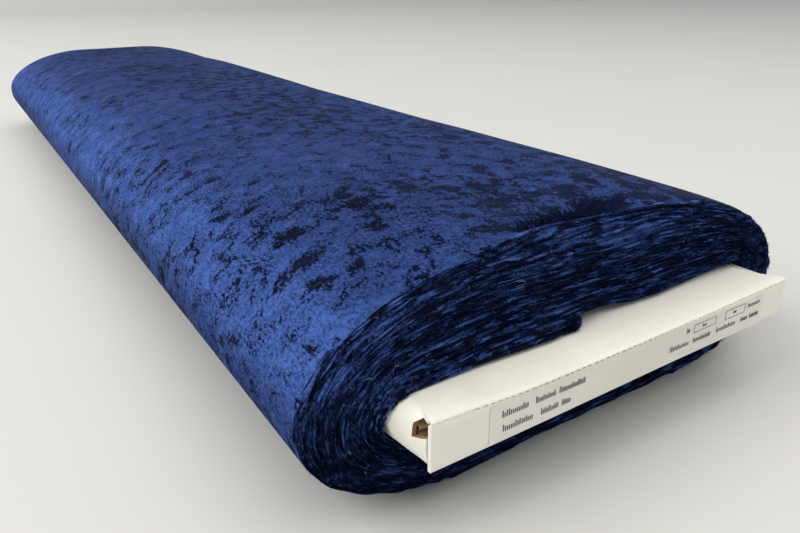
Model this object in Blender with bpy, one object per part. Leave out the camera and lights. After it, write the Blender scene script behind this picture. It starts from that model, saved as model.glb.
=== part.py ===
"""Velvet fabric bolt: doubled cloth wound on a folded corrugated board, lying flat.

Metres, +Z up. X runs across the board, Y along the bolt, and the origin lies under the
middle of the roll, on the surface it rests on. The near end, with the label, faces -Y.

The board is one blank of white-faced corrugated sheet. Its panels, rounded sides, ribs,
end flaps, tuck tabs and gussets are separate pieces that meet at their creases.
"""
import math

import bpy
import bmesh

# Cloth
CLOTH_SPAN = 0.750          # folded cloth width, measured along the bolt
BUILD_SIDE = 0.0240         # wound thickness on each rounded side of the board
BUILD_TOP = 0.0358          # wound thickness above the board
BUILD_BOTTOM = 0.0315       # and below it, pressed by the roll's weight
WRAPS = 26                  # full turns before the loose end's own part turn
PLY_FILL = 0.85             # share of the wrap pitch that the doubled cloth fills
TOP_FLAT = 0.030            # half-length of the outermost turn's flat top
BOTTOM_FLAT = 0.055         # half-length of the flat that the roll rests on
TELESCOPE = 0.004           # how far the innermost turn sits towards the near end
TAIL_GAP = 0.0004           # air between the loose end and the turn under it

# Board
BOARD_WIDTH = 0.178         # over both rounded sides, under the cloth
BOARD_THICKNESS = 0.015
BOARD_OVERHANG = 0.020      # board showing past the cloth at each end
SHEET = 0.0016              # corrugated sheet
SIDE_DEPTH = 0.009          # depth of a rounded side where the cloth grips it
SIDE_DEPTH_AT_END = 0.0045  # depth of a rounded side where it meets the end flap
END_ROUNDNESS = 0.35        # 1 is a half-ellipse, 0 a square side, at the end flap
RIB_SPACING = 0.054         # distance between the two inner ribs
RIB_SETBACK = 0.024         # from the board's end to the end of a rib

# End closures
TAB_LENGTH = 0.012
TAB_SIDE_CLEARANCE = 0.0007 # between the tuck tab's side and the gussets' tips
GUSSET_REACH = 0.0092
GUSSET_TOP_DROP = 0.0030    # from the crease to the gusset's upper corner
TAB_CORNER = 0.0060         # cut back off each outer corner of a tuck tab
CORNER_NOTCH = 0.0060       # cut-away where a rounded side meets the crease
NOTCH_HALF_LENGTH = 0.6 * CORNER_NOTCH          # along the bolt
NOTCH_HALF_HEIGHT = 0.55 * CORNER_NOTCH
NOTCH_REACH = 0.0064        # how deep the cutter goes into the side, and out past it
LABEL_WIDTH = 0.134
LABEL_HEIGHT = 0.0135
LABEL_THICKNESS = 0.0003
LABEL_OFFSET = 0.003        # label centre, right of the flap's centre

GAP = 0.0003                # clearance between pieces that touch
STICKER_GAP = 0.0001

# Resolution
NOSE_STEPS = 10             # facets round each side of a turn
TAIL_STEPS = 8
SIDE_STEPS = 10             # facets round each rounded side of the board
FLARE_SHARES = (0.0, 0.25, 0.55, 0.85, 1.0)     # where a side is measured, cloth to end
SMOOTH_BELOW = math.radians(35)                 # edges sharper than this stay crisp

# The wound strip, counted in stations: a turn is two sides and the middles of two flats
PER_TURN = 2 * (NOSE_STEPS + 2)
RIGHT_SIDE = NOSE_STEPS + 3                     # first station of the right side
ROOT_STATION = 3                                # the loose end's root, from RIGHT_SIDE on
TAIL_ROOT = WRAPS * PER_TURN + RIGHT_SIDE + ROOT_STATION
TAIL_STATIONS = 4                               # reach of the loose end, up the right side
DEPTH_PER_STATION = 1 / (TAIL_ROOT + TAIL_STATIONS + PLY_FILL * PER_TURN)
PLY_DEPTH = PLY_FILL * PER_TURN * DEPTH_PER_STATION
LOWEST_DEPTH = (WRAPS * PER_TURN + RIGHT_SIDE) * DEPTH_PER_STATION + PLY_DEPTH

BOARD_MID_Z = BOARD_THICKNESS / 2 + GAP + (BUILD_BOTTOM - GAP) * LOWEST_DEPTH
BOARD_TOP_Z = BOARD_MID_Z + BOARD_THICKNESS / 2
BOARD_BASE_Z = BOARD_MID_Z - BOARD_THICKNESS / 2
BOARD_END_Y = CLOTH_SPAN / 2 + BOARD_OVERHANG
PANEL_END_Y = BOARD_END_Y - SHEET - GAP
PANEL_HALF_WIDTH = BOARD_WIDTH / 2 - SIDE_DEPTH
SIDE_FLARE = SIDE_DEPTH - SIDE_DEPTH_AT_END
FLAP_HALF_WIDTH = BOARD_WIDTH / 2 - SIDE_FLARE - GAP
GUSSET_HINGE_X = FLAP_HALF_WIDTH + GAP - SHEET - GAP
TAB_TOP_Z = BOARD_BASE_Z + 2 * SHEET + GAP
GUSSET_BASE_Z = TAB_TOP_Z + GAP
GUSSET_TIP_Z = GUSSET_BASE_Z + SHEET
# A gusset longer than its tip lies under the crease would be caught by the lifting flap
GUSSET_LENGTH = min(GUSSET_REACH, BOARD_TOP_Z - GUSSET_TIP_Z - GAP)
TAB_HALF_WIDTH = GUSSET_HINGE_X - GUSSET_LENGTH - TAB_SIDE_CLEARANCE

WHITE_BOARD = ("white_board", (0.86, 0.85, 0.82), 0.72)
KRAFT_BOARD = ("kraft_board", (0.46, 0.31, 0.17), 0.85)
LABEL_PAPER = ("label_paper", (0.83, 0.82, 0.77), 0.60)
BLUE_VELVET = ("blue_velvet", (0.012, 0.035, 0.190), 0.80)


def clear_scene():
    for item in list(bpy.data.objects):
        bpy.data.objects.remove(item, do_unlink=True)


def material(spec):
    name, colour, roughness = spec
    made = bpy.data.materials.get(name)
    if made is None:
        made = bpy.data.materials.new(name)
        made.use_nodes = True
        shader = made.node_tree.nodes["Principled BSDF"]
        shader.inputs["Base Color"].default_value = (*colour, 1.0)
        shader.inputs["Roughness"].default_value = roughness
        shader.inputs["Metallic"].default_value = 0.0
    return made


def pivot(name, location, parent=None):
    """An empty on a joint's axis; its location is given in world space."""
    empty = bpy.data.objects.new(name, None)
    bpy.context.collection.objects.link(empty)
    empty.parent = parent
    start = parent["world"] if parent else (0.0, 0.0, 0.0)
    empty.location = [a - b for a, b in zip(location, start)]
    empty["world"] = location
    return empty


def add_piece(name, verts, faces, spec, parent=None, smooth=False):
    """Make an object from world-space vertices, its origin at its pivot."""
    start = tuple(parent["world"]) if parent else (0.0, 0.0, 0.0)
    mesh = bpy.data.meshes.new(name)
    mesh.from_pydata([[a - b for a, b in zip(v, start)] for v in verts], [], faces)
    tidy = bmesh.new()
    tidy.from_mesh(mesh)
    bmesh.ops.recalc_face_normals(tidy, faces=tidy.faces)
    tidy.to_mesh(mesh)
    tidy.free()
    mesh.materials.append(material(spec))
    if smooth:
        mesh.shade_smooth()
        mesh.set_sharp_from_angle(angle=SMOOTH_BELOW)
    piece = bpy.data.objects.new(name, mesh)
    bpy.context.collection.objects.link(piece)
    piece.parent = parent
    return piece


def prism(outline, extrude):
    """Close an outline of points with its copy moved by the vector extrude."""
    count = len(outline)
    moved = [tuple(a + b for a, b in zip(point, extrude)) for point in outline]
    faces = [tuple(range(count)), tuple(range(2 * count - 1, count - 1, -1))]
    for i in range(count):
        j = (i + 1) % count
        faces.append((i, j, count + j, count + i))
    return list(outline) + moved, faces


def slab(low, high):
    (x0, y0, z0), (x1, y1, z1) = low, high
    return prism([(x0, y0, z0), (x1, y0, z0), (x1, y0, z1), (x0, y0, z1)], (0, y1 - y0, 0))


def loft(sections):
    """Skin rings of points, with a flat cap on the first and the last."""
    count = len(sections[0])
    verts = [point for row in sections for point in row]
    faces = []
    for r in range(len(sections) - 1):
        for i in range(count):
            j = (i + 1) % count
            faces.append((r * count + i, r * count + j, (r + 1) * count + j, (r + 1) * count + i))
    last = (len(sections) - 1) * count
    faces.append(tuple(range(count)))
    faces.append(tuple(range(last + count - 1, last - 1, -1)))
    return verts, faces


def blend(low, high, share):
    return low + (high - low) * share


# ---------------------------------------------------------------- cloth

def turn_point(depth, angle, side):
    """Point on the turn at depth 0 (on the board) to 1 (outside), in X and Z.

    Each turn is a rounded slab: flats above and below, joined by half-ellipses. side is
    the half that a point directly above or below belongs to, -1 or 1, or 0 for mid-flat.
    """
    above = math.sin(angle) > 0
    half_width = blend(BOARD_WIDTH / 2 + GAP, BOARD_WIDTH / 2 + BUILD_SIDE, depth)
    outer_flat = TOP_FLAT if above else BOTTOM_FLAT
    flat = blend(PANEL_HALF_WIDTH, outer_flat, depth)
    build = BUILD_TOP if above else BUILD_BOTTOM
    height = blend(BOARD_THICKNESS / 2 + GAP, BOARD_THICKNESS / 2 + build, depth)
    x = side * (flat + (half_width - flat) * abs(math.cos(angle)))
    return x, BOARD_MID_Z + height * math.sin(angle)


def turn_stations():
    """Angles and sides round one turn: mid top, left side, mid bottom, right side."""
    step = math.pi / NOSE_STEPS
    left = [(math.pi / 2 + k * step, -1) for k in range(NOSE_STEPS + 1)]
    right = [(3 * math.pi / 2 + k * step, 1) for k in range(NOSE_STEPS + 1)]
    return [(math.pi / 2, 0)] + left + [(3 * math.pi / 2, 0)] + right


def strip_row(low, high, shift):
    """Four corners of the wound strip's section, from its near edge to its far edge."""
    near, far = shift - CLOTH_SPAN / 2, shift + CLOTH_SPAN / 2
    return [(low[0], near, low[1]), (high[0], near, high[1]),
            (high[0], far, high[1]), (low[0], far, low[1])]


def make_roll():
    """The doubled cloth as one spiral strip, from the board's middle to the loose end's root."""
    stations = turn_stations()
    rows = []
    for position in range(TAIL_ROOT + 1):
        angle, side = stations[position % PER_TURN]
        depth = position * DEPTH_PER_STATION
        low = turn_point(depth, angle, side)
        high = turn_point(depth + PLY_DEPTH, angle, side)
        rows.append(strip_row(low, high, -TELESCOPE * (1 - depth) ** 2))
    verts, faces = loft(rows)
    add_piece("cloth_roll", verts, faces, BLUE_VELVET, smooth=True)


def make_tail():
    """The loose outer end: it climbs the right side and peels outwards from its root."""
    root_angle = turn_stations()[TAIL_ROOT % PER_TURN][0]
    end_angle = root_angle + TAIL_STATIONS * math.pi / NOSE_STEPS
    root_angle += GAP / (BOARD_WIDTH / 2)
    rows = []
    for k in range(TAIL_STEPS + 1):
        share = k / TAIL_STEPS
        angle = blend(root_angle, end_angle, share)
        depth = (TAIL_ROOT + share * TAIL_STATIONS) * DEPTH_PER_STATION
        low = turn_point(depth + TAIL_GAP / BUILD_SIDE, angle, 1)
        high = turn_point(depth + PLY_DEPTH, angle, 1)
        rows.append(strip_row(low, high, 0.0))
    hinge = rows[0][1]
    axis = pivot("cloth_tail_axis", (hinge[0], 0.0, hinge[2]))
    verts, faces = loft(rows)
    add_piece("cloth_tail", verts, faces, BLUE_VELVET, parent=axis, smooth=True)


# ---------------------------------------------------------------- board

def make_panels():
    for name, low_z, high_z in (
            ("board_top_panel", BOARD_TOP_Z - SHEET, BOARD_TOP_Z),
            ("board_bottom_panel", BOARD_BASE_Z, BOARD_BASE_Z + SHEET)):
        verts, faces = slab((-PANEL_HALF_WIDTH, -PANEL_END_Y, low_z),
                            (PANEL_HALF_WIDTH, PANEL_END_Y, high_z))
        add_piece(name, verts, faces, WHITE_BOARD)


def make_ribs():
    """Two ribs that stand between the panels and keep the board from crushing."""
    low_z = BOARD_BASE_Z + SHEET + GAP
    high_z = BOARD_TOP_Z - SHEET - GAP
    reach = BOARD_END_Y - RIB_SETBACK
    for name, side in (("board_rib_left", -1), ("board_rib_right", 1)):
        middle = side * RIB_SPACING / 2
        verts, faces = slab((middle - SHEET / 2, -reach, low_z), (middle + SHEET / 2, reach, high_z))
        add_piece(name, verts, faces, KRAFT_BOARD)


def side_section(y, side, depth, roundness):
    """A C-shaped ring of points: the outer curve of a rounded side, then its inner one."""
    start = PANEL_HALF_WIDTH + GAP
    outer, inner = [], []
    for k in range(SIDE_STEPS + 1):
        angle = math.pi / 2 - math.pi * k / SIDE_STEPS
        half = BOARD_THICKNESS / 2
        bulge = max(0.0, math.cos(angle)) ** roundness
        out_x = start + (depth - GAP) * bulge
        in_x = start + (depth - GAP - SHEET) * bulge
        outer.append((side * out_x, y, BOARD_MID_Z + half * math.sin(angle)))
        inner.append((side * in_x, y, BOARD_MID_Z + (half - SHEET) * math.sin(angle)))
    return outer + inner[::-1]


def make_sides():
    """Rounded narrow sides; each draws in towards the board's ends."""
    grip_y = CLOTH_SPAN / 2 - TELESCOPE
    for name, side in (("board_side_left", -1), ("board_side_right", 1)):
        sections = []
        for end in (-1, 1):
            for share in FLARE_SHARES[::end]:
                y = blend(grip_y, PANEL_END_Y, share)
                depth = SIDE_DEPTH - SIDE_FLARE * share ** 2
                roundness = blend(1.0, END_ROUNDNESS, share)
                sections.append(side_section(end * y, side, depth, roundness))
        verts, faces = loft(sections)
        piece = add_piece(name, verts, faces, WHITE_BOARD, smooth=True)
        cut_corner_notches(piece, side)


def cut_corner_notches(piece, side):
    """Open the upper corner at each end, where the side stops short of the crease."""
    for end, label in ((-1, "near"), (1, "far")):
        x = side * (PANEL_HALF_WIDTH + SIDE_DEPTH_AT_END)
        y = end * PANEL_END_Y
        z = BOARD_TOP_Z - NOTCH_HALF_HEIGHT
        inner_x = x - side * NOTCH_REACH
        outline = [(inner_x, y - end * NOTCH_HALF_LENGTH, z), (inner_x, y, z - NOTCH_HALF_HEIGHT),
                   (inner_x, y + end * NOTCH_HALF_LENGTH, z), (inner_x, y, z + NOTCH_HALF_HEIGHT)]
        verts, faces = prism(outline, (side * 2 * NOTCH_REACH, 0, 0))
        cutter = add_piece(piece.name + "_notch_" + label, verts, faces, KRAFT_BOARD)
        cutter.display_type = "WIRE"
        cutter.hide_render = True
        cut = piece.modifiers.new("corner_notch_" + label, "BOOLEAN")
        cut.operation = "DIFFERENCE"
        cut.solver = "EXACT"
        cut.object = cutter


# ---------------------------------------------------------------- end closures

def make_flap(end, label):
    """The end flap hangs from the crease at the top panel's outer edge."""
    outer_y = end * BOARD_END_Y
    hinge = pivot(label + "_flap_axis", (0.0, outer_y, BOARD_TOP_Z))
    inner_y = outer_y - end * SHEET
    low_y, high_y = min(outer_y, inner_y), max(outer_y, inner_y)
    verts, faces = slab((-FLAP_HALF_WIDTH, low_y, BOARD_BASE_Z), (FLAP_HALF_WIDTH, high_y, BOARD_TOP_Z))
    add_piece(label + "_end_flap", verts, faces, WHITE_BOARD, parent=hinge)
    return hinge


def make_tab(end, label, flap_axis):
    """The tuck tab slides in over the bottom panel, its outer corners cut back."""
    root_y = end * PANEL_END_Y
    hinge = pivot(label + "_tab_axis", (0.0, root_y, TAB_TOP_Z), parent=flap_axis)
    tip_y = root_y - end * TAB_LENGTH
    corner_y = tip_y + end * TAB_CORNER
    tip_x = TAB_HALF_WIDTH - TAB_CORNER
    outline = [(-TAB_HALF_WIDTH, root_y, TAB_TOP_Z), (TAB_HALF_WIDTH, root_y, TAB_TOP_Z),
               (TAB_HALF_WIDTH, corner_y, TAB_TOP_Z), (tip_x, tip_y, TAB_TOP_Z),
               (-tip_x, tip_y, TAB_TOP_Z), (-TAB_HALF_WIDTH, corner_y, TAB_TOP_Z)]
    verts, faces = prism(outline, (0, 0, -SHEET))
    add_piece(label + "_tuck_tab", verts, faces, WHITE_BOARD, parent=hinge)


def make_gusset(end, label, side, side_name):
    """A three-cornered gusset behind the flap; its slope keeps clear of the opening flap."""
    x = side * GUSSET_HINGE_X
    y = end * PANEL_END_Y
    high = BOARD_TOP_Z - GUSSET_TOP_DROP
    hinge = pivot("_".join((label, "gusset", side_name, "axis")), (x, y, GUSSET_BASE_Z))
    tip_x = x - side * GUSSET_LENGTH
    outline = [(x, y, GUSSET_BASE_Z), (tip_x, y, GUSSET_BASE_Z),
               (tip_x, y, GUSSET_TIP_Z), (x, y, high)]
    verts, faces = prism(outline, (0, -end * SHEET, 0))
    add_piece("_".join((label, "gusset", side_name)), verts, faces, WHITE_BOARD, parent=hinge)


def make_label(flap_axis):
    face_y = -BOARD_END_Y - STICKER_GAP
    left = LABEL_OFFSET - LABEL_WIDTH / 2
    low_z = BOARD_MID_Z - LABEL_HEIGHT / 2
    verts, faces = slab((left, face_y - LABEL_THICKNESS, low_z),
                        (left + LABEL_WIDTH, face_y, low_z + LABEL_HEIGHT))
    add_piece("end_label", verts, faces, LABEL_PAPER, parent=flap_axis)


def make_ends():
    for end, label in ((-1, "near"), (1, "far")):
        flap_axis = make_flap(end, label)
        make_tab(end, label, flap_axis)
        for side, side_name in ((-1, "left"), (1, "right")):
            make_gusset(end, label, side, side_name)
        if label == "near":
            make_label(flap_axis)


clear_scene()
make_panels()
make_ribs()
make_sides()
make_ends()
make_roll()
make_tail()
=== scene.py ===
"""Looks of the fabric bolt: crushed velvet wound on a folded corrugated board.

Metres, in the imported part's own frame: X across the board, Y along the bolt (the labelled
near end faces -Y), Z up. The wound cloth follows the same spiral as the part's own solid.
"""

import math

import bmesh
import bpy
import numpy as np
from mathutils import Matrix, Vector, noise


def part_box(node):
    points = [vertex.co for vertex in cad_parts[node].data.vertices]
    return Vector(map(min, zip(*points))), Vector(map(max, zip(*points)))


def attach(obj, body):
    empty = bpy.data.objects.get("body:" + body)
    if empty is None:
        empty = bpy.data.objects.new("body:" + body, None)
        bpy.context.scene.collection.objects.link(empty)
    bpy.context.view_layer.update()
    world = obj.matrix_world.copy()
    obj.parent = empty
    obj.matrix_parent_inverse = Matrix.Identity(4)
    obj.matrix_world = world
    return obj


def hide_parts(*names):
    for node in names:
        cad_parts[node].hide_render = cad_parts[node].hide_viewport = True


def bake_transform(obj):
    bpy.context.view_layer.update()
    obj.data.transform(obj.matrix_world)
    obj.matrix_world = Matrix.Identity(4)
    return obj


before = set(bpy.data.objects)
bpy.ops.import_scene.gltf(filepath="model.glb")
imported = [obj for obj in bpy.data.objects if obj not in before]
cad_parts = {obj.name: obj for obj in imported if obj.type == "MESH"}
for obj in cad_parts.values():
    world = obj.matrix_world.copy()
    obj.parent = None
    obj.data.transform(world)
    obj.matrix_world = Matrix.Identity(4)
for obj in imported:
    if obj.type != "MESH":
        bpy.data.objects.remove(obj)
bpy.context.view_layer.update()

# ---------------------------------------------------------------- sizes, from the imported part

TOP_LOW, TOP_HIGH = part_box("board_top_panel")
BASE_LOW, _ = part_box("board_bottom_panel")
SIDE_LOW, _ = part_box("board_side_left")
FLAP_LOW, FLAP_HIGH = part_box("near_end_flap")
LABEL_LOW, LABEL_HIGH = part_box("end_label")
TAIL_LOW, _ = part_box("cloth_tail")

CLOTH_END = -TAIL_LOW.y                  # the cloth runs from -CLOTH_END to CLOTH_END
BOARD_TOP = TOP_HIGH.z
BOARD_BASE = BASE_LOW.z
BOARD_MID = (BOARD_TOP + BOARD_BASE) / 2
HALF_THICK = (BOARD_TOP - BOARD_BASE) / 2
HALF_BOARD = -SIDE_LOW.x
PANEL_HALF = TOP_HIGH.x
SHEET = TOP_HIGH.z - TOP_LOW.z
FACE_Y = FLAP_LOW.y                      # outer face of the near flap
FLAP_HALF = FLAP_HIGH.x
CLEARANCE = 0.0003                       # between the board and the first turn

# The spiral, counted in stations as the part counts it. Depth runs from 0 at the board to 1 outside.
WRAPS = 26
NOSE_STEPS = 10                          # stations round each end of the oval
PER_TURN = 2 * (NOSE_STEPS + 2)
TAIL_ROOT = WRAPS * PER_TURN + NOSE_STEPS + 6
TAIL_STATIONS = 4
PLY_FILL = 0.85                          # share of a turn's pitch that is cloth
BUILD_SIDE = 0.0240                      # thickness of all turns beside, over and under the board
BUILD_TOP = 0.0358
BUILD_BOTTOM = 0.0315
TOP_FLAT = 0.030                         # half width of the outer turn's flats
BOTTOM_FLAT = 0.055
DEPTH_STEP = 1 / (TAIL_ROOT + TAIL_STATIONS + PLY_FILL * PER_TURN)
PLY_DEPTH = PLY_FILL * PER_TURN * DEPTH_STEP

rng = np.random.default_rng(7)


# ---------------------------------------------------------------- small helpers

def smooth_noise(seed, *axes):
    """Value noise from -1 to 1 on a lattice of unit cells, at the points given axis by axis."""
    grid = np.stack(axes, 1) + seed * 17.31
    cell = np.floor(grid).astype(np.int64)
    part = grid - cell
    ease = part * part * (3 - 2 * part)
    total = np.zeros(len(grid))
    for corner in range(2 ** grid.shape[1]):
        weight = np.ones(len(grid))
        key = np.full(len(grid), seed * 7919 + 12345, np.int64)
        for axis in range(grid.shape[1]):
            up = (corner >> axis) & 1
            weight *= ease[:, axis] if up else 1 - ease[:, axis]
            key = (key * 31 + (cell[:, axis] + up) * 374761393) & 0x7FFFFFFF
            key = (key ^ (key >> 13)) * 1274126177 & 0x7FFFFFFF
        total += weight * ((key ^ (key >> 16)) & 0xFFFF) / 32767.5
    return total - 1.0


def bump_at(value, centre, width):
    return np.exp(-((value - centre) / width) ** 2)


def step_between(value, low, high):
    t = np.clip((value - low) / (high - low), 0, 1)
    return t * t * (3 - 2 * t)


def add_object(name, data):
    item = bpy.data.objects.new(name, data)
    bpy.context.scene.collection.objects.link(item)
    return item


def add_mesh(name, verts, faces, paint, smooth=True, sharp=None):
    mesh = bpy.data.meshes.new(name)
    mesh.from_pydata([tuple(v) for v in verts], [], faces)
    mesh.validate()
    for material in (paint if isinstance(paint, (list, tuple)) else [paint]):
        mesh.materials.append(material)
    if smooth:
        mesh.shade_smooth()
        if sharp:
            mesh.set_sharp_from_angle(angle=math.radians(sharp))
    return add_object(name, mesh)


def tube_faces(rows, size):
    """Faces that skin a row of closed loops, with a cap on each end."""
    faces = []
    for r in range(rows - 1):
        a, b = r * size, (r + 1) * size
        faces += [(a + i, a + (i + 1) % size, b + (i + 1) % size, b + i) for i in range(size)]
    return faces + [tuple(range(size - 1, -1, -1)), tuple((rows - 1) * size + i for i in range(size))]


def set_uv(piece, uv):
    """Cloth coordinates in metres, one pair to each corner of each face."""
    layer = piece.data.uv_layers.new(name="ClothUV")
    layer.data.foreach_set("uv", uv.astype(np.float32).ravel())


def unit(vectors):
    return vectors / np.linalg.norm(vectors, axis=1)[:, None]


def fix_normals(piece):
    work = bmesh.new()
    work.from_mesh(piece.data)
    bmesh.ops.recalc_face_normals(work, faces=work.faces)
    work.to_mesh(piece.data)
    work.free()


# ---------------------------------------------------------------- materials

class Nodes:
    """Short hand for wiring one material."""

    def __init__(self, name):
        self.material = bpy.data.materials.new(name)
        self.material.use_nodes = True
        self.tree = self.material.node_tree
        self.shader = self.tree.nodes["Principled BSDF"]
        self.place = self.add("ShaderNodeTexCoord").outputs["Object"]

    def add(self, kind, settings=None, **inputs):
        node = self.tree.nodes.new(kind)
        for key, value in (settings or {}).items():
            setattr(node, key, value)
        for key, value in inputs.items():
            self.put(node, key.replace("_", " "), value)
        return node

    def put(self, node, socket, value):
        """Wire or set an input, named by its label, or by # and its number."""
        slot = node.inputs[int(socket[1:])] if socket[0] == "#" else node.inputs[socket]
        if isinstance(value, bpy.types.NodeSocket):
            self.tree.links.new(value, slot)
        else:
            slot.default_value = value

    def combine(self, kind, operation, values):
        node = self.add(kind, {"operation": operation})
        for index, value in enumerate(values):
            self.put(node, f"#{index}", value)
        return node.outputs[0]

    def math(self, operation, *values):
        return self.combine("ShaderNodeMath", operation, values)

    def vector(self, operation, *values):
        return self.combine("ShaderNodeVectorMath", operation, values)

    def paint(self, **inputs):
        for key, value in inputs.items():
            self.put(self.shader, key.replace("_", " "), value)

    def scaled(self, vector, x, y, z=1.0):
        return self.vector("MULTIPLY", vector, (x, y, z))

    def noise(self, vector, scale, detail=2.0, rough=0.5, distort=0.0, colour=False):
        node = self.add("ShaderNodeTexNoise", Vector=vector, Scale=scale, Detail=detail,
                        Roughness=rough, Distortion=distort)
        return node.outputs["Color" if colour else "Fac"]

    def ramp(self, value, low, high, start=0.0, end=1.0):
        node = self.tree.nodes.new("ShaderNodeMapRange")
        node.interpolation_type = "SMOOTHSTEP"
        for socket, number in (("From Min", low), ("From Max", high), ("To Min", start), ("To Max", end)):
            node.inputs[socket].default_value = number
        self.put(node, "Value", value)
        return node.outputs["Result"]

    def mix(self, share, low, high):
        node = self.tree.nodes.new("ShaderNodeMix")
        node.data_type = "RGBA"
        for socket, value in ((0, share), (6, low), (7, high)):     # the colour sockets of a Mix node
            self.put(node, f"#{socket}", value)
        return node.outputs[2]

    def bump(self, height, strength, distance, normal=None):
        node = self.add("ShaderNodeBump", Height=height, Strength=strength, Distance=distance)
        if normal is not None:
            self.put(node, "Normal", normal)
        return node.outputs[0]


NAP = 0.34                               # how far the pile is brushed back against the winding
GREY = (0.5, 0.5, 0.5)                   # the middle of a colour noise
FULL = (1.0, 1.0, 1.0, 1)
LOWER_SIDE_SHADE = (0.46, 0.46, 0.50, 1)         # painted shade on the sides' lower half, which faces away from the light
BAND = (1.62, 1.62, 1.58, 1)             # painted highlight on the smooth left shoulder
GROUND = ((0.0130, 0.0255, 0.0900, 1), (0.0350, 0.0700, 0.2360, 1))
CRUSHED = ((0.0014, 0.0020, 0.0070, 1), (0.0068, 0.0120, 0.0400, 1))
RAISED = (0.0440, 0.0940, 0.3250, 1)
STREAKS = ((0.0052, 0.0072, 0.0215, 1), (0.0560, 0.1100, 0.3500, 1))


def velvet_material(name, end_face=False):
    """Crushed velvet: matt pile brushed back against the winding, crushed its own way in each patch, with
    painted shade and painted highlights.
    """
    n = Nodes(name)
    uv = n.add("ShaderNodeUVMap", {"uv_map": "ClothUV"}).outputs[0]
    across, along, up = n.add("ShaderNodeSeparateXYZ", Vector=n.place).outputs
    wobble = n.vector("SUBTRACT", n.noise(uv, 150.0, 3.0, 0.6, colour=True), GREY)
    shifted = n.vector("ADD", uv, n.scaled(wobble, 0.012, 0.012, 0.0))
    # Broad drifts, crushed blotches, creases and the grain of single tufts
    drift = n.noise(uv, 9.0, 2.0)
    blotch = n.noise(n.scaled(shifted, 1.0, 0.8), 128.0, 4.0, 0.66, 0.6)
    crease = n.noise(n.scaled(shifted, 0.25, 1.0), 170.0, 3.0, 0.62)
    grain = n.noise(n.scaled(uv, 1.0, 0.6), 900.0, 3.0, 0.7)
    tuft = n.noise(n.scaled(uv, 0.7, 1.0), 2100.0, 2.0, 0.7)
    level = n.math("MULTIPLY", n.math("SUBTRACT", blotch, 0.5), 3.0)
    for layer, share in ((drift, 0.80), (crease, 0.90), (grain, 1.20), (tuft, 0.80)):
        level = n.math("ADD", level, n.math("MULTIPLY", n.math("SUBTRACT", layer, 0.5), share))
    # Dark crushed patches are set denser over the right half and towards the near end, and denser still low
    # on the sides as painted shade
    crush_and_shade = n.math("ADD", n.ramp(across, -0.085, 0.000, 0.13, -0.06), n.ramp(up, 0.026, 0.044, -0.10, 0.0))
    crush_and_shade = n.math("ADD", crush_and_shade, n.ramp(along, -0.37, -0.22, -0.14, 0.0))
    level = n.math("ADD", level, crush_and_shade)
    # Painted shade in the pucker's hollow and a painted highlight on its lip, read from a vertex attribute
    pucker_shade_and_highlight = n.add("ShaderNodeAttribute", {"attribute_name": "pucker_shade_and_highlight"}).outputs["Fac"]
    level = n.math("SUBTRACT", level, n.math("MULTIPLY", pucker_shade_and_highlight, 0.70))
    fine = n.math("ADD", n.math("MULTIPLY", grain, 0.6), n.math("MULTIPLY", tuft, 0.4))
    ground = n.mix(n.ramp(fine, 0.40, 0.60), *GROUND)
    # Painted shade: the sides' lower half is darkened, as it faces away from the light
    ground = n.vector("MULTIPLY", ground, n.mix(n.ramp(up, 0.022, 0.046), LOWER_SIDE_SHADE, FULL))
    dark = n.mix(n.ramp(fine, 0.44, 0.60), *CRUSHED)
    shade = n.mix(n.ramp(level, -0.24, -0.04), dark, ground)
    shade = n.mix(n.ramp(level, 0.10, 0.55, 0.0, 0.55), shade, RAISED)
    # Along the left shoulder the pile lies smooth, and its colour is brightened as a painted highlight where
    # it catches the light
    band = n.math("MULTIPLY", n.ramp(up, 0.040, 0.053), n.ramp(up, 0.062, 0.076, 1.0, 0.0))
    band = n.math("MULTIPLY", band, n.ramp(across, -0.086, -0.072, 1.0, 0.0))
    shade = n.vector("MULTIPLY", shade, n.mix(band, FULL, BAND))
    if end_face:
        streak = n.noise(n.scaled(uv, 0.25, 1.0), 330.0, 3.0, 0.65)
        shade = n.mix(n.ramp(streak, 0.42, 0.54), STREAKS[0], shade)
        shade = n.mix(n.ramp(streak, 0.53, 0.64), shade, STREAKS[1])
    # The pile's lean turns the shading normal, patch by patch
    lean = n.vector("SUBTRACT", n.noise(shifted, 60.0, 3.0, 0.6, 0.3, colour=True), GREY)
    tips = n.vector("SUBTRACT", n.noise(n.scaled(uv, 1.0, 0.6), 800.0, 3.0, 0.7, colour=True), GREY)
    normal = n.add("ShaderNodeNewGeometry").outputs["Normal"]
    if not end_face:
        nap = n.add("ShaderNodeTangent", {"direction_type": "UV_MAP", "uv_map": "ClothUV"}).outputs[0]
        normal = n.vector("SUBTRACT", normal, n.scaled(nap, NAP, NAP, NAP))
    for turned in (lean, tips):
        normal = n.vector("ADD", normal, n.scaled(turned, 1.5, 1.5, 1.5))
    normal = n.vector("NORMALIZE", normal)
    height = n.math("ADD", blotch, n.math("MULTIPLY", grain, 0.5))
    n.paint(Base_Color=shade, Normal=n.bump(height, 0.7, 0.0012, normal), Roughness=0.55,
            Specular_IOR_Level=0.015, Specular_Tint=(0.24, 0.40, 1.0, 1),
            Sheen_Weight=0.06, Sheen_Roughness=0.35, Sheen_Tint=(0.10, 0.24, 1.0, 1))
    return n.material


FLUTE_PITCH = 0.0036


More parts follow.
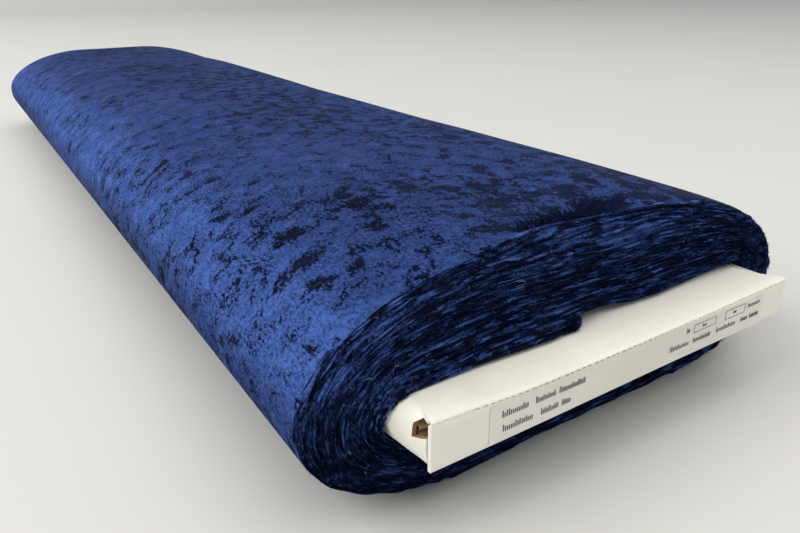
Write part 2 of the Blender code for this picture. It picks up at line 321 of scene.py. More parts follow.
def paper_board_material(name, base, shade):
    """White-faced board: faint flutes under the liner, fibres, scuffs and soft stains."""
    n = Nodes(name)
    across = n.add("ShaderNodeSeparateXYZ", Vector=n.place).outputs[0]
    wave = n.math("SINE", n.math("MULTIPLY", across, 2 * math.pi / FLUTE_PITCH))
    fibres = n.noise(n.scaled(n.place, 1.0, 3.0), 900.0, 3.0, 0.65)
    cloud = n.noise(n.place, 26.0, 4.0, 0.6)
    speck = n.noise(n.place, 620.0, 2.0, 0.7)
    tone = n.math("ADD", n.math("MULTIPLY", cloud, 0.7), n.math("MULTIPLY", fibres, 0.3))
    colour = n.mix(n.ramp(tone, 0.30, 0.72), shade, base)
    colour = n.mix(n.ramp(speck, 0.70, 0.80, 0.0, 0.35), colour, (0.42, 0.36, 0.28, 1))
    scuff = n.noise(n.scaled(n.place, 1.0, 0.4, 2.0), 140.0, 3.0, 0.7)
    colour = n.mix(n.ramp(scuff, 0.66, 0.80, 0.0, 0.30), colour, (0.50, 0.47, 0.42, 1))
    height = n.math("ADD", n.math("MULTIPLY", wave, 0.22), n.math("MULTIPLY", fibres, 0.5))
    height = n.math("ADD", height, n.math("MULTIPLY", cloud, 1.2))
    n.paint(Base_Color=colour, Normal=n.bump(height, 0.35, 0.00025), Roughness=0.62, Specular_IOR_Level=0.35)
    return n.material


def kraft_material(name):
    """Unbleached fluting and liners."""
    n = Nodes(name)
    fibres = n.noise(n.scaled(n.place, 1.0, 2.5), 1100.0, 3.0, 0.7)
    cloud = n.noise(n.place, 60.0, 3.0)
    wave = n.add("ShaderNodeTexWave", {"wave_type": "BANDS", "bands_direction": "X"}, Vector=n.place,
                 Scale=90.0, Distortion=0.6, Detail=1.0).outputs["Fac"]
    tone = n.math("ADD", n.math("MULTIPLY", fibres, 0.5), n.math("MULTIPLY", cloud, 0.5))
    colour = n.mix(n.ramp(tone, 0.3, 0.7), (0.23, 0.135, 0.062, 1), (0.44, 0.29, 0.155, 1))
    n.paint(Base_Color=colour, Normal=n.bump(n.math("ADD", wave, fibres), 0.5, 0.0003), Roughness=0.85)
    return n.material


def label_material(name):
    """Slightly coated paper."""
    n = Nodes(name)
    fibres = n.noise(n.place, 1400.0, 2.0, 0.6)
    cloud = n.noise(n.place, 40.0, 3.0)
    colour = n.mix(n.ramp(cloud, 0.35, 0.7), (0.71, 0.695, 0.625, 1), (0.77, 0.755, 0.68, 1))
    colour = n.mix(n.ramp(fibres, 0.62, 0.8, 0.0, 0.2), colour, (0.55, 0.53, 0.48, 1))
    height = n.math("ADD", cloud, n.math("MULTIPLY", fibres, 0.2))
    n.paint(Base_Color=colour, Normal=n.bump(height, 0.25, 0.0002), Roughness=0.48, Coat_Weight=0.06)
    return n.material


def speckled_material(name, scale, detail, rough, span, low, high, roughness):
    """One noise between two tones."""
    n = Nodes(name)
    tone = n.noise(n.place, scale, detail, rough)
    n.paint(Base_Color=n.mix(n.ramp(tone, *span), low, high), Roughness=roughness)
    return n.material


VELVET = velvet_material("crushed_velvet")
VELVET_EDGE = velvet_material("velvet_edge", end_face=True)
WHITE = paper_board_material("white_liner", (0.89, 0.875, 0.785, 1), (0.81, 0.795, 0.71, 1))
KRAFT = kraft_material("kraft_fluting")
LABEL = label_material("label_stock")
INK = speckled_material("label_ink", 1800.0, 3.0, 0.7, (0.45, 0.75),
                        (0.018, 0.018, 0.022, 1), (0.10, 0.10, 0.11, 1), 0.5)
LINT = speckled_material("lint", 700.0, 2.0, 0.5, (0.35, 0.65),
                         (0.10, 0.14, 0.28, 1), (0.50, 0.52, 0.56, 1), 0.6)


# ---------------------------------------------------------------- the wound cloth

def outline(position, depth):
    """X and Z on the turn at a depth, at a position counted in stations (arrays)."""
    p = np.mod(position, PER_TURN)
    left = (p >= 1) & (p <= NOSE_STEPS + 1)
    right = (p >= NOSE_STEPS + 3) & (p <= 2 * NOSE_STEPS + 3)
    bottom = (p > NOSE_STEPS + 1) & (p < NOSE_STEPS + 3)
    top_left = p < 1
    step = math.pi / NOSE_STEPS
    angle = np.where(left, math.pi / 2 + (p - 1) * step,
                     np.where(right, 1.5 * math.pi + (p - NOSE_STEPS - 3) * step,
                              np.where(bottom, 1.5 * math.pi, math.pi / 2)))
    above = np.where(bottom, False, np.sin(angle) > 0)
    half_width = HALF_BOARD + CLEARANCE + (BUILD_SIDE - CLEARANCE) * depth
    flat = PANEL_HALF + CLEARANCE + (np.where(above, TOP_FLAT, BOTTOM_FLAT) - PANEL_HALF) * depth
    build = np.where(above, BUILD_TOP, BUILD_BOTTOM)
    height = HALF_THICK + CLEARANCE + (build - CLEARANCE) * depth
    on_flat = np.where(top_left, -p, np.where(bottom, p - NOSE_STEPS - 2, PER_TURN - p))
    side = np.where(left, -1.0, np.where(right, 1.0, on_flat))
    x = side * (flat + (half_width - flat) * np.abs(np.cos(angle)) * (left | right))
    z = BOARD_MID + height * np.sin(angle)
    return x, z


NEAR_DROOP, FAR_DROOP = 0.0046, 0.0030   # how far the top of the stack sinks at each end
TILT = 0.0016                            # and how far it leans to the right near the near end
SWAY, RIPPLE = 0.0011, 0.0007            # waves in the outer turns
LUMP = 0.0036                            # the fold at the cloth's first edge
LIP, HOLLOW = 0.0042, 0.0078             # the pucker's height and depth
PUCKER_START, PUCKER_LENGTH = -0.026, 0.061


def settle(x, y, z, depth):
    """How the stack of turns droops at its ends, undulates, and puckers near one edge."""
    from_near = y + CLOTH_END
    from_far = CLOTH_END - y
    over = np.clip((z - BOARD_TOP) / BUILD_TOP, 0, 1)
    droop = NEAR_DROOP * np.exp(-np.maximum(from_near, 0) / 0.0085) + FAR_DROOP * np.exp(-from_far / 0.010)
    z = z - droop * over * depth ** 2
    z = z - TILT * over * depth * np.clip(x / 0.1, -1, 1) * np.exp(-from_near / 0.10)
    sway = smooth_noise(3, x * 9, y * 5, z * 9)
    ripple = smooth_noise(4, x * 24, y * 15, z * 24)
    loose = step_between(depth, 0.35, 1.0) * step_between(over, 0.0, 0.35)
    z = z + loose * (SWAY * sway + RIPPLE * ripple)
    # The first turn starts with a folded lump, and the turns over it ride up
    lump = step_between(x, -0.075, -0.045) * (1 - step_between(x, -0.010, 0.020))
    lump = lump * bump_at(np.maximum(from_near, 0), 0.0, 0.020) * (over > 0)
    z = z + LUMP * lump * np.clip(depth / PLY_DEPTH, 0, 1) * (1 - depth) ** 1.5
    lip, hollow = pucker(x, from_near)
    return z + loose * step_between(depth, 0.55, 1.0) * (lip - hollow)


def pucker(x, from_near):
    """A lip along the near edge with a hollow behind it: how high and how deep."""
    run = (x - PUCKER_START) / PUCKER_LENGTH
    along = step_between(run, -0.35, 0.20) * (1 - step_between(run, 0.85, 1.45))
    lip = LIP * along * bump_at(from_near, 0.0060 - 0.0048 * run, 0.0042)
    deep = step_between(run, -0.10, 0.20) * (1 - step_between(run, 0.55, 0.98))
    reach = 0.0026 + 0.0030 * np.clip(run, 0, 1)
    hollow = HOLLOW * deep * bump_at(from_near, 0.0132 + 0.0042 * run, reach)
    return lip, hollow


def ply_loop(near_ys, far_ys):
    """The doubled cloth's closed section: (place from near edge, place from far edge, level).

    Two plies, joined by a fold at the far end and cut at the near end. Levels run from 0,
    the side next to the board, to 1, the outside.
    """
    fine = [("near", v) for v in near_ys] + [("far", v) for v in reversed(far_ys)]
    loop = [(end, v, 1.0) for end, v in fine]
    loop += [("far", -0.0006, 0.80), ("far", -0.0009, 0.50), ("far", -0.0006, 0.20)]
    loop += [(end, v, 0.0) for end, v in reversed(fine)]
    loop += [("near", -0.0004, 0.23)]
    loop += [(end, v + 0.0001, 0.46) for end, v in fine]
    loop += [("far", -0.0001, 0.50)]
    loop += [(end, v + 0.0001, 0.54) for end, v in reversed(fine)]
    loop += [("near", -0.0004, 0.77)]
    return loop


def edge_shift(position, x, z, depth, level):
    """How far each ply's near edge sits from the plane of the near end, plus inwards."""
    spot, turn = position * 0.55, depth * 90 + level * 3.1
    ragged = sum(size * smooth_noise(seed, spot * fine, turn * fine)
                 for size, fine, seed in ((0.0013, 1.0, 11), (0.0012, 3.1, 12), (0.0008, 7.3, 14)))
    on_top = z > BOARD_MID
    to_right = np.where(on_top, step_between(x, -0.015, -0.006), step_between(x, -0.06, 0.06))
    push = (-0.0034 + 0.0056 * to_right) * np.exp(-depth / 0.13) - 0.0012 * (1 - depth) ** 2
    set_back = 0.0062 * step_between(depth, 0.62, 1.0) ** 1.7
    ply = np.where(level > 0.5, 0.0004, -0.0004) * smooth_noise(13, spot * 1.7, turn * 1.7)
    return push + set_back + ragged + ply


def wind(name, first, last, per_turn, near_ys, far_ys):
    """One stretch of the doubled cloth, from station first to last of the spiral."""
    count = max(2, int(round((last - first) / PER_TURN * per_turn))) + 1
    stations = np.linspace(first, last, count)
    loop = ply_loop(near_ys, far_ys)
    size = len(loop)
    base = np.repeat(stations, size)
    level = np.tile([k for _, _, k in loop], count)
    at_near = np.tile([end == "near" for end, _, _ in loop], count)
    inset = np.tile([v for _, v, _ in loop], count)
    depth = base * DEPTH_STEP + PLY_DEPTH * level
    x, z = outline(base, depth)
    shift = edge_shift(base, x, z, depth, level)
    far_shift = -0.0040 * (1 - depth) ** 2 + 0.0008 * smooth_noise(21, base * 0.4, depth * 50)
    fade = np.exp(-np.maximum(inset, 0) / 0.05)
    y = np.where(at_near, -CLOTH_END + inset + shift * fade, CLOTH_END - inset + far_shift * fade)
    z = settle(x, y, z, depth)
    verts = np.stack([x, y, z], 1)
    piece = add_mesh(name, verts, tube_faces(count, size), [VELVET, VELVET_EDGE])
    fix_normals(piece)
    # The cut edges at the near end take the streaked velvet, deeper in where the plies lie inside
    at_cut = [end == "near" and v <= (0.0008 if k == 1.0 else 0.0045) for end, v, k in loop]
    marks = np.zeros(len(piece.data.polygons), np.int32)
    streaked = [at_cut[i] and at_cut[(i + 1) % size] for i in range(size)]
    marks[:(count - 1) * size] = np.tile(streaked, count - 1)
    piece.data.polygons.foreach_set("material_index", marks)
    # Cloth coordinates in metres: along the wound length, and along the bolt
    ring = verts.reshape(count, size, 3)[:, 0, :]
    steps = np.linalg.norm(np.diff(ring[:, [0, 2]], axis=0), axis=1)
    length = np.concatenate([[0.0], np.cumsum(steps)])
    u = np.repeat(length, size) + first * 0.02
    v = verts[:, 1] + np.where(level > 0.5, 0.0, 3.0)
    index = np.empty(len(piece.data.loops), np.int32)
    piece.data.loops.foreach_get("vertex_index", index)
    set_uv(piece, np.stack([u[index], v[index]], 1))
    # Painted shade in the pucker's hollow and a painted highlight on its lip, kept as a vertex attribute
    lip, hollow = pucker(x, y + CLOTH_END)
    dark = (np.clip(hollow / 0.0050, 0, 1) - 0.7 * np.clip(lip / 0.0040, 0, 1)) * (z > BOARD_TOP + 0.02)
    mark = piece.data.attributes.new("pucker_shade_and_highlight", "FLOAT", "POINT")
    mark.data.foreach_set("value", dark.astype(np.float32))
    return piece, float(length[-1])


CLOTH_START = 0.14                       # the cloth's first edge lies just left of the middle
OUTER_START = TAIL_ROOT - PER_TURN
TAIL_END = TAIL_ROOT + TAIL_STATIONS
# Rows of points along the bolt, counted in from each edge: few inside, many on the outer turn
INNER_NEAR = [0.0, 0.0008, 0.0042, 0.0110]
INNER_FAR = [0.0, 0.0015, 0.0080]
ROW_STEP = 0.0027
OUTER_NEAR = [0.0, 0.0005] + list(np.arange(0.0014, 0.0300, 0.0013))
OUTER_NEAR += list(np.arange(OUTER_NEAR[-1] + ROW_STEP, CLOTH_END, ROW_STEP))
OUTER_FAR = [0.0, 0.0006, 0.0016] + list(np.arange(0.0040, CLOTH_END - 0.001, ROW_STEP * 1.3))
INNER_POINTS = 136      # points along each turn
OUTER_POINTS = 200
TAIL_POINTS = 240

wound, wound_length = wind("cloth_wound", CLOTH_START, OUTER_START, INNER_POINTS, INNER_NEAR, INNER_FAR)
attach(wound, "roll")
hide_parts("cloth_roll")

outer, outer_length = wind("cloth_outer_turn", OUTER_START, TAIL_ROOT, OUTER_POINTS, OUTER_NEAR, OUTER_FAR)
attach(outer, "roll")

tail, tail_length = wind("cloth_loose_end", TAIL_ROOT, TAIL_END, TAIL_POINTS, INNER_NEAR, INNER_FAR)
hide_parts("cloth_tail")
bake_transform(tail)


# ---------------------------------------------------------------- pile on the cut edges

FLOOR_GAP = 0.00005                      # no fibre reaches below this


def blades(name, roots, ways, lengths, width, paint):
    """Short fibres: one thin triangle each, from a root along its way."""
    half = unit(np.cross(ways, rng.normal(size=ways.shape))) * width[:, None] / 2
    verts = np.stack([roots - half, roots + half, roots + ways * lengths[:, None]], 1).reshape(-1, 3)
    verts[:, 2] = np.maximum(verts[:, 2], FLOOR_GAP)
    faces = np.arange(len(verts)).reshape(-1, 3).tolist()
    piece = add_mesh(name, verts, faces, paint, smooth=False)
    spot = np.stack([roots[:, 0] + roots[:, 2] * 1.7, roots[:, 1] + roots[:, 2]], 1)
    set_uv(piece, np.repeat(spot, 3, axis=0))
    return piece


def cut_edge_pile(name, first, last, count):
    """Pile that stands out of the cut edges at the near end."""
    share = rng.random(count)
    base = first + (last - first) * np.sqrt(share * 0.9 + 0.1 * rng.random(count))
    level = rng.choice([0.06, 0.20, 0.36, 0.64, 0.80, 0.96], count)
    depth = base * DEPTH_STEP + PLY_DEPTH * level
    x, z = outline(base, depth)
    shift = edge_shift(base, x, z, depth, level)
    y = -CLOTH_END + shift + rng.uniform(-0.0002, 0.0012, count)
    z = settle(x, y, z, depth)
    roots = np.stack([x, y, z], 1)
    step_x, step_z = outline(base + 0.05, depth)
    forward = np.stack([step_x - x, np.zeros(count), step_z - z], 1)
    forward /= np.linalg.norm(forward, axis=1)[:, None] + 1e-9
    outward = np.cross(forward, np.array([0.0, -1.0, 0.0]))
    brushed = smooth_noise(31, base * 1.1, depth * 40)[:, None]
    ways = np.array([0.0, -1.0, 0.0]) + forward * brushed * 0.9 + outward * 0.25
    ways = unit(ways + rng.normal(scale=0.45, size=ways.shape))
    lengths = rng.uniform(0.0006, 0.0016, count)
    return blades(name, roots, ways, lengths, rng.uniform(0.00010, 0.00022, count), VELVET_EDGE)


def first_edge_tuft():
    """The fuzzy rounded tongue where the doubled cloth starts, on top of the board."""
    count = 12000
    turn = rng.uniform(-1.0, 1.0, count) * math.pi / 2
    inset = 0.0120 * rng.random(count) ** 1.6
    full = np.sqrt(np.clip(inset / 0.0022, 0.05, 1.0))
    back = rng.random(count) ** 2 * 0.0060 * (inset < 0.0016)
    roots = np.stack([-0.0142 + 0.0030 * np.cos(turn) * full - back, -CLOTH_END - 0.0040 + inset,
                      BOARD_TOP + 0.0028 + 0.0025 * np.sin(turn) * full], 1)
    ways = np.stack([np.cos(turn), -0.25 - 1.1 * np.exp(-inset / 0.0012), np.sin(turn) - 0.30], 1)
    ways = unit(ways + rng.normal(scale=0.28, size=ways.shape))
    return blades("start_tuft", roots, ways, rng.uniform(0.0008, 0.0021, count),
                  rng.uniform(0.00014, 0.00030, count), VELVET_EDGE)


def caught_lint():
    """Single pale fibres caught on the cut edges."""
    count, bends = 90, 5
    base = rng.uniform(TAIL_ROOT * 0.25, TAIL_ROOT, count)
    depth = base * DEPTH_STEP + PLY_DEPTH * rng.random(count)
    x, z = outline(base, depth)
    y = -CLOTH_END + edge_shift(base, x, z, depth, np.full(count, 0.5)) - rng.uniform(0.0002, 0.0010, count)
    verts, faces = [], []
    for root, turn, long in zip(np.stack([x, y, settle(x, y, z, depth)], 1), rng.uniform(0, math.pi, count),
                                rng.uniform(0.0008, 0.0026, count)):
        bend = rng.uniform(-1.5, 1.5)
        start = len(verts)
        for k in range(bends + 1):
            angle = turn + bend * k / bends
            along = np.array([math.cos(angle), -0.15, math.sin(angle)])
            wide = np.array([-math.sin(angle), 0.0, math.cos(angle)]) * 0.00004
            verts += [root + wide, root - wide]
            root = root + along * long / bends
        faces += [(start + k, start + k + 1, start + k + 3, start + k + 2) for k in range(0, 2 * bends, 2)]
    piece = add_mesh("edge_lint", verts, faces, LINT)
    return piece


edge_pile = cut_edge_pile("edge_pile", CLOTH_START, TAIL_ROOT, 110000)
start_tuft = first_edge_tuft()
edge_lint = caught_lint()
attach(edge_pile, "roll")
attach(start_tuft, "roll")
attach(edge_lint, "roll")


# ---------------------------------------------------------------- the board

def crease_rise(x):
    """How the crease over the label sags in its middle and lifts at its corners."""
    bow = 0.0013 * np.clip((x + 0.022) / 0.095, -1, 1) ** 2 - 0.0003
    return bow + 0.0015 * step_between(-x, 0.0480, 0.0842)


def column_loft(name, xs, loop_at, paint):
    """Skin closed loops of (y, z) set along X, with a cap on each end."""
    loops = [loop_at(x) for x in xs]
    verts = [(x, y, z) for x, loop in zip(xs, loops) for y, z in loop]
    piece = add_mesh(name, verts, tube_faces(len(xs), len(loops[0])), paint, sharp=50)
    fix_normals(piece)
    return piece


PERFORATION = 0.0026                     # pitch of the cuts along the crease
BRIDGE = 0.40                            # share of the pitch left uncut
LIP_DROP = 0.0009                        # how far the top liner turns down over the crease
CUT_LIP = 0.36                           # share of that drop where the liner is cut
CUT_NOTCH = 0.00022                      # how far the flap's top is cut back there
COLUMN_STEP = 0.0004
PANEL_END = TOP_LOW.y
GRIP = CLOTH_END - 0.004                 # the board's ends are shaped from just inside the cloth
BARE = CLOTH_END + 0.004                 # and the top panel's from just outside it
SIDE_GAP = 0.0003                        # between the panels and the rounded sides
SIDE_DEPTH = 0.0090


def bridged(x):
    wander = 0.10 * math.sin(x * 431.0) + 0.08 * math.sin(x * 977.0)
    return ((x / PERFORATION + wander) % 1.0) < BRIDGE


def make_top_sheet():
    """The top panel, whose liner turns down over the perforated crease at the near end."""
    edge, top, base = FACE_Y, BOARD_TOP, BOARD_TOP - SHEET

    def loop_at(x):
        rise = float(crease_rise(x))
        lip = LIP_DROP if bridged(x) else LIP_DROP * CUT_LIP
        rough = 0.00012 * float(noise.noise(Vector((x * 900, 3.1, 0.0))))
        swell = 0.0003 * math.cos(x * 38.0)
        high = top + rise
        return [(TOP_HIGH.y, top), (BARE, top), (-0.30, top), (-BARE, top),
                (-BARE - 0.0060, top + rise * 0.45 + swell), (edge + 0.0060, top + rise * 0.85 + swell),
                (edge + 0.0022, high), (edge + 0.0010, high - 0.00008), (edge + 0.0003, high - 0.0003),
                (edge, high - 0.0006), (edge - 0.00004 + rough, high - 0.0006 - lip * 0.5),
                (edge + rough, high - 0.0004 - lip), (edge + 0.0003, high - 0.0004 - lip),
                (edge + 0.0004, high - 0.0008), (PANEL_END, high - 0.0008),
                (PANEL_END, base + rise * 0.9), (-BARE, base), (TOP_HIGH.y, base)]

    xs = np.arange(-PANEL_HALF, PANEL_HALF + 0.0004, COLUMN_STEP)
    piece = column_loft("board_top_sheet", xs, loop_at, WHITE)
    # It widens from the cloth to the crease, to cover the flap's whole width
    for vertex in piece.data.vertices:
        share = float(step_between(-vertex.co.y, BARE, -FACE_Y))
        share *= float(step_between(abs(vertex.co.x), 0.066, PANEL_HALF))
        vertex.co.x += math.copysign((FLAP_HALF - PANEL_HALF) * share, vertex.co.x)
    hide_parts("board_top_panel")
    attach(piece, "roll")


def make_flap_sheet():
    """The near end flap, hung from the crease, with its lower fold."""
    def loop_at(x):
        rise = float(crease_rise(x))
        high = BOARD_TOP + rise - 0.0010 - (0.0 if bridged(x) else CUT_NOTCH)
        low = BOARD_BASE - 0.0004 + 0.0010 * float(step_between(x, -0.06, 0.08))
        dent = 0.00010 * (1 + float(noise.noise(Vector((x * 55, 8.0, 0.0)))))
        face, back = FACE_Y + 0.00002, FACE_Y + SHEET
        steps = [(face + 0.0002, high), (face, high - 0.0003)]
        for k in range(1, 6):
            t = k / 6
            bow = dent * math.sin(math.pi * t)
            steps.append((face + bow, high + (low - high) * t))
        steps += [(face, low + 0.0006), (face + 0.0002, low + 0.0002), (face + 0.0006, low),
                  (back, low + 0.0001), (back, high - 0.0010), (face + 0.0010, high - 0.0002)]
        return steps

    xs = np.arange(-FLAP_HALF, FLAP_HALF + 0.0001, COLUMN_STEP)
    piece = column_loft("near_flap_sheet", xs, loop_at, WHITE)
    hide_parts("near_end_flap")
    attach(piece, "near_flap")


def side_loop(y, side):
    """The C-shaped section of a rounded side at one place along the bolt, and its steps."""
    share = max(0.0, (abs(y) - GRIP) / (-PANEL_END - GRIP))
    depth = SIDE_DEPTH - 0.0046 * share ** 1.4
    square = 1.0 - 0.50 * share ** 2
    lift = 0.0
    if y < 0:
        lift = float(crease_rise(side * PANEL_HALF)) * share * 0.80 - 0.0004 * min(1.0, share * 4)
        lift += 0.0003 * math.sin(math.pi * min(1.0, share)) if side < 0 else 0.0
    steps, outer, inner = 22, [], []
    for k in range(steps + 1):
        angle = math.pi / 2 - math.pi * k / steps
        bulge = max(0.0, math.cos(angle)) ** square
        middle = BOARD_MID + lift * max(0.0, math.sin(angle)) ** 1.5
        half = HALF_THICK - (0.0002 if k in (0, steps) else 0.0)
        ripple = 0.00012 * math.sin(y * 900 + k * 0.9)
        root = PANEL_HALF + SIDE_GAP
        outer.append((root + (depth + ripple) * bulge, middle + half * math.sin(angle)))
        inner.append((root + (depth - SHEET) * bulge, middle + (half - SHEET) * math.sin(angle)))
    return [(side * x, y, z) for x, z in outer + inner[::-1]], steps


def make_side(side, name, node):
    """A rounded side of the board, open at its upper near corner onto bare kraft."""
    shares = np.linspace(0.0, 1.0, 14)
    rows = list(PANEL_END + (-GRIP - PANEL_END) * shares) + [-0.30, 0.0, 0.30]
    rows += list(-(PANEL_END + (-GRIP - PANEL_END) * shares[::-1]))
    verts = []
    for y in rows:
        loop, steps = side_loop(float(y), side)
        verts += loop
    # White outside; bare kraft inside and along both long edges
    marks = [0 if i < steps else 1 for i in range(len(loop))] * (len(rows) - 1) + [0, 0]
    piece = add_mesh(name, verts, tube_faces(len(rows), len(loop)), [WHITE, KRAFT], sharp=50)
    piece.data.polygons.foreach_set("material_index", marks)
    fix_normals(piece)
    # The diamond-shaped opening beside the crease
    middle_z = BOARD_TOP - 0.0030
    x = side * (PANEL_HALF + 0.0045)
    corners = [(PANEL_END - 0.0006, middle_z + 0.0062), (PANEL_END + 0.0052, middle_z + 0.0008),
               (PANEL_END + 0.0050, middle_z - 0.0034), (PANEL_END - 0.0006, middle_z - 0.0016)]
    out = side * 0.009
    ring = [(x - out * 0.45, y, z) for y, z in corners] + [(x + out, y, z) for y, z in corners]
    sides = [(0, 1, 2, 3), (7, 6, 5, 4)] + [(i, i + 4, (i + 1) % 4 + 4, (i + 1) % 4) for i in range(4)]
    cutter = add_mesh(name + "_cutter", ring, sides, KRAFT, smooth=False)
    fix_normals(cutter)
    cut = piece.modifiers.new("corner", "BOOLEAN")
    cut.operation, cut.solver, cut.object = "DIFFERENCE", "EXACT", cutter
    graph = bpy.context.evaluated_depsgraph_get()
    made = bpy.data.meshes.new_from_object(piece.evaluated_get(graph))
    piece.modifiers.clear()
    piece.data = made
    bpy.data.objects.remove(cutter, do_unlink=True)
    made.shade_smooth()
    made.set_sharp_from_angle(angle=math.radians(40))
    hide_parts(node)
    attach(piece, "roll")


FLUTE_GAP = 0.0012                       # from the torn fluting to the panels


def make_corner_flute(side, name):
    """Bare fluting that shows through the corner opening."""
    rows, columns, verts = 30, 8, []
    for i in range(rows + 1):
        for j in range(columns + 1):
            t, u = i / rows, j / columns
            x = side * (PANEL_HALF - 0.0010 + 0.0046 * u)
            y = PANEL_END + 0.0040 + 0.0009 * math.sin(2 * math.pi * t * 3.2 + u) + 0.0016 * u
            z = BOARD_BASE + SHEET + FLUTE_GAP + 2 * (HALF_THICK - SHEET - FLUTE_GAP) * t
            verts.append((x, y, z))
    step = columns + 1
    faces = [(i * step + j, i * step + j + 1, (i + 1) * step + j + 1, (i + 1) * step + j)
             for i in range(rows) for j in range(columns)]
    piece = add_mesh(name, verts, faces, KRAFT)
    thick = piece.modifiers.new("thick", "SOLIDIFY")
    thick.thickness = 0.0003
    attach(piece, "roll")


def carry(node, paint, bevel):
    """Show a part's own solid, with soft edges and a worked surface."""
    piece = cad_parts[node]
    piece.data.materials.clear()
    piece.data.materials.append(paint)
    soften = piece.modifiers.new("soft_edges", "BEVEL")
    soften.width = bevel
    soften.segments = 2
    soften.limit_method = "ANGLE"
    soften.angle_limit = math.radians(40)


make_top_sheet()
make_flap_sheet()
make_side(-1, "side_left_sheet", "board_side_left")
make_side(1, "side_right_sheet", "board_side_right")
make_corner_flute(-1, "corner_flute_left")
make_corner_flute(1, "corner_flute_right")
REMADE = ("board_top_panel", "near_end_flap", "board_side_left", "board_side_right")
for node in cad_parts:
    if "rib" in node:
        carry(node, KRAFT, 0.0001)
    elif node.startswith(("board_", "near_", "far_")) and node not in REMADE:
        carry(node, WHITE, 0.0003)


# ---------------------------------------------------------------- the label

LABEL_BACK = LABEL_HIGH.y + 0.00004       # where the label's back lies
LABEL_PLY = 0.00010                      # thickness of its paper
LABEL_TOP = LABEL_HIGH.z - 0.0008        # stops below the cuts of the crease
INK_GAP = 0.00007                        # from the paper to the print's face
BOLD, PLAIN = 0.00042, 0.00026           # widths of a tick
RULE = 0.00018                           # width of a box's lines


def make_label_sheet():
    """A stuck-on paper slip; its corners lift a little."""
    columns, rows = 90, 10
    verts = []
    for k in (0, 1):
        for i in range(columns + 1):
            for j in range(rows + 1):
                t, u = i / columns, j / rows
                x = LABEL_LOW.x + (LABEL_HIGH.x - LABEL_LOW.x) * t
                z = LABEL_LOW.z + (LABEL_TOP - LABEL_LOW.z) * u
                curl = 0.00012 * max(0.0, abs(2 * t - 1) - 0.93) / 0.07 * abs(2 * u - 1) ** 3
                wave = 0.00004 * float(noise.noise(Vector((x * 90, 2.0, z * 120))))
                y = LABEL_BACK - curl + wave - (LABEL_PLY if k == 0 else 0.0)
                verts.append((x, y, z))
    step = rows + 1
    layer = (columns + 1) * step
    faces = []
    for k in (0, 1):
        for i in range(columns):
            for j in range(rows):
                a = k * layer + i * step + j
                faces.append((a, a + 1, a + step + 1, a + step))
    rim = [i * step for i in range(columns)] + [columns * step + j for j in range(rows)]
    rim += [i * step + rows for i in range(columns, 0, -1)] + [j for j in range(rows, 0, -1)]
    for a, b in zip(rim, rim[1:] + rim[:1]):
        faces.append((a, b, layer + b, layer + a))
    piece = add_mesh("label_sheet", verts, faces, LABEL, sharp=50)
    fix_normals(piece)
    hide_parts("end_label")
    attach(piece, "near_flap")


def make_print():
    """Rows of plain upright ticks in place of any wording, and two ruled boxes."""
    y = LABEL_BACK - LABEL_PLY - INK_GAP
    verts, faces = [], []

    def bar(x0, x1, z0, z1):
        start = len(verts)
        for depth in (0.0, 0.00004):
            verts.extend([(x0, y + depth, z0), (x1, y + depth, z0), (x1, y + depth, z1), (x0, y + depth, z1)])
        faces.extend([tuple(start + i for i in f) for f in (
            (0, 1, 2, 3), (7, 6, 5, 4), (0, 4, 5, 1), (1, 5, 6, 2), (2, 6, 7, 3), (3, 7, 4, 0))])

    def words(x, z, height, stroke, lengths):
        pitch = stroke * 1.9
        for length in lengths:
            ticks = max(2, int(length / pitch))
            for k in range(ticks):
                tall = height * (1.0 if k == 0 else rng.choice([0.62, 0.62, 0.70, 0.92]))
                bar(x + k * pitch, x + k * pitch + stroke, z, z + tall)
            x += ticks * pitch + height * 0.5

    def box(x0, x1, z0, z1):
        bar(x0, x1, z0, z0 + RULE)
        bar(x0, x1, z1 - RULE, z1)
        bar(x0, x0 + RULE, z0 + RULE, z1 - RULE)
        bar(x1 - RULE, x1, z0 + RULE, z1 - RULE)

    words(-0.0595, 0.0395, 0.0024, BOLD, [0.0105])
    words(-0.0465, 0.0395, 0.0024, PLAIN, [0.0085, 0.0115])
    words(-0.0590, 0.0345, 0.0024, BOLD, [0.0125])
    words(-0.0440, 0.0345, 0.0024, PLAIN, [0.0075, 0.0040])
    words(0.0240, 0.0412, 0.0022, 0.00036, [0.0022])
    box(0.0282, 0.0408, 0.0402, 0.0434)
    box(0.0464, 0.0584, 0.0400, 0.0436)
    words(0.0330, 0.0413, 0.0012, PLAIN, [0.0028])
    words(0.0512, 0.0413, 0.0012, PLAIN, [0.0024])
    words(0.0602, 0.0412, 0.0020, BOLD, [0.0085])
    words(0.0160, 0.0362, 0.0022, BOLD, [0.0105])
    words(0.0285, 0.0362, 0.0022, PLAIN, [0.0105])
    words(0.0420, 0.0362, 0.0022, BOLD, [0.0122])
    words(0.0570, 0.0362, 0.0022, PLAIN, [0.0045, 0.0060])
    piece = add_mesh("label_print", verts, faces, INK, smooth=False)
    fix_normals(piece)
    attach(piece, "near_flap")


make_label_sheet()
make_print()


# ---------------------------------------------------------------- stage, light, camera

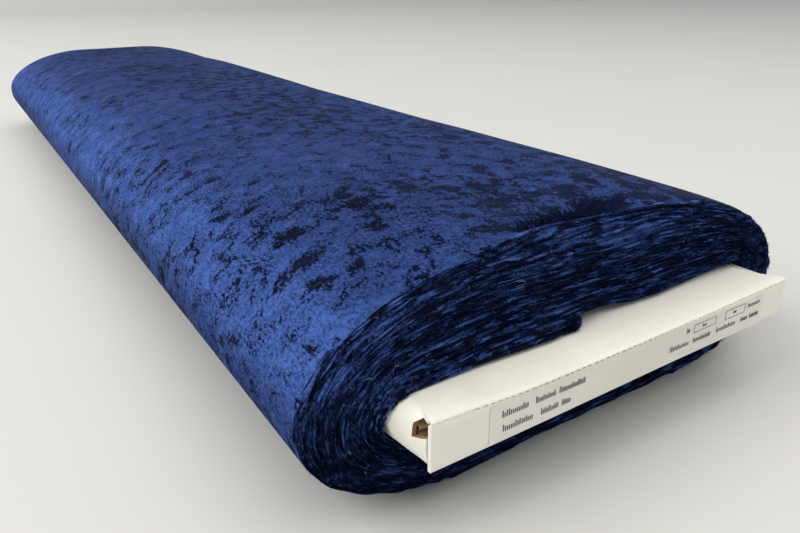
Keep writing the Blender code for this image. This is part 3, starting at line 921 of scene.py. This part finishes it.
def make_stage():
    """A floor that sweeps up behind the bolt."""
    n = Nodes("floor_paper")
    cloud = n.noise(n.place, 5.0, 3.0)
    n.paint(Base_Color=n.mix(cloud, (0.66, 0.655, 0.63, 1), (0.70, 0.695, 0.67, 1)), Roughness=0.75,
            Specular_IOR_Level=0.2)
    front, back, bend, top, half, count = -4.0, 3.2, 1.6, 4.5, 7.0, 28
    profile = [(front, 0.0)]
    for k in range(count + 1):
        angle = math.pi / 2 * k / count
        profile.append((back + bend * math.sin(angle), bend - bend * math.cos(angle)))
    profile.append((back + bend, top))
    verts = [(x, y, z) for y, z in profile for x in (-half, half)]
    faces = [(2 * i, 2 * i + 1, 2 * i + 3, 2 * i + 2) for i in range(len(profile) - 1)]
    floor = add_mesh("floor", verts, faces, n.material)


def area_light(name, place, target, size, power, colour):
    data = bpy.data.lights.new(name, "AREA")
    data.shape = "RECTANGLE"
    data.size, data.size_y = size
    data.energy = power
    data.color = colour
    lamp = add_object(name, data)
    lamp.location = place
    lamp.rotation_mode = "QUATERNION"
    lamp.rotation_quaternion = (Vector(target) - Vector(place)).to_track_quat("-Z", "Y")


def make_light():
    world = bpy.data.worlds.new("studio")
    bpy.context.scene.world = world
    world.use_nodes = True
    background = world.node_tree.nodes["Background"]
    background.inputs["Color"].default_value = (0.95, 0.96, 1.0, 1)
    background.inputs["Strength"].default_value = 0.56
    area_light("window", (-1.9, 0.4, 1.7), (0.0, 0.0, 0.0), (2.4, 1.8), 46.0, (1.0, 0.98, 0.93))
    area_light("overhead", (0.2, -1.1, 2.2), (0.0, -0.2, 0.0), (2.4, 2.0), 24.0, (1.0, 0.965, 0.90))
    area_light("backdrop", (-1.8, 2.0, 2.6), (-1.2, 4.6, 1.0), (2.0, 1.0), 40.0, (1.0, 0.98, 0.94))


def make_camera():
    """The camera stands close to the near end's left corner and looks down along the bolt."""
    yaw, pitch, roll = 0.57535, 0.40531, -0.00629
    ahead = Vector((math.sin(yaw) * math.cos(pitch), math.cos(yaw) * math.cos(pitch), -math.sin(pitch)))
    right = Vector((math.cos(yaw), -math.sin(yaw), 0.0))
    up = right.cross(ahead)
    turned_right = math.cos(roll) * right + math.sin(roll) * up
    turned_up = -math.sin(roll) * right + math.cos(roll) * up
    spot = Vector((-0.17105, -0.5141, 0.15557))
    data = bpy.data.cameras.new("camera")
    data.sensor_width = 36.0
    data.lens = 30.5
    data.clip_start, data.clip_end = 0.01, 30.0
    camera = add_object("camera", data)
    columns = (turned_right, turned_up, -ahead, spot)
    rows = [[column[k] for column in columns] for k in range(3)]
    camera.matrix_world = Matrix(rows + [[0.0, 0.0, 0.0, 1.0]])
    bpy.context.scene.camera = camera


make_stage()
make_light()
make_camera()
bpy.context.scene.view_settings.view_transform = "Standard"
